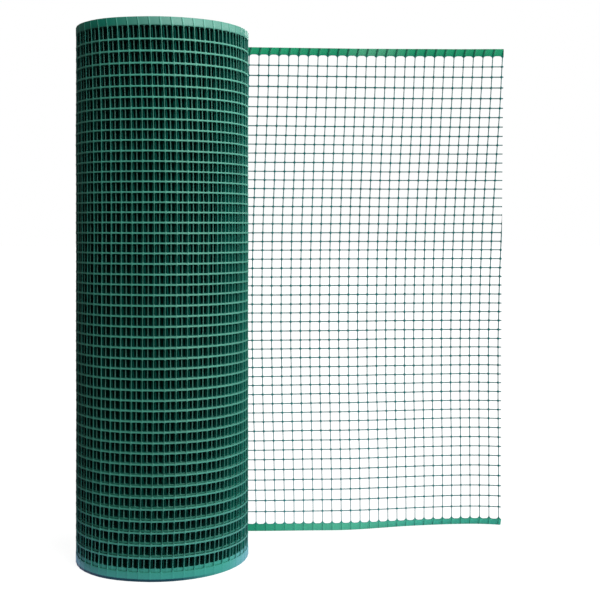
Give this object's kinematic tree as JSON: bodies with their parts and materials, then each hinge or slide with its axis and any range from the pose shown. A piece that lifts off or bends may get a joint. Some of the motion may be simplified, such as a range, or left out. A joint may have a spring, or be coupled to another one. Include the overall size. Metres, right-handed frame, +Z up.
{
  "type": "roll of plastic garden mesh",
  "caption": "Standing roll of green extruded plastic garden mesh with solid edge bands, its free end hanging out as one flat leaf.",
  "frame": {"origin": "on the roll's own axis, in the plane of the end that it stands on", "axes": "+Z up the axis of the roll, +X the way the free leaf runs, +Y towards the back of the roll, where the leaf leaves it"},
  "size_m": [0.8549, 0.376, 1],
  "materials": {
    "mesh_plastic": "green extruded polyethylene, satin on the strands, smoother and slightly translucent on the edge bands"
  },
  "bodies": {
    "root": {"wound_roll": "mesh_plastic", "leaf_panel_1": "mesh_plastic", "leaf_panel_2": "mesh_plastic", "leaf_panel_3": "mesh_plastic", "leaf_panel_4": "mesh_plastic", "leaf_panel_5": "mesh_plastic"}
  },
  "joints": []
}
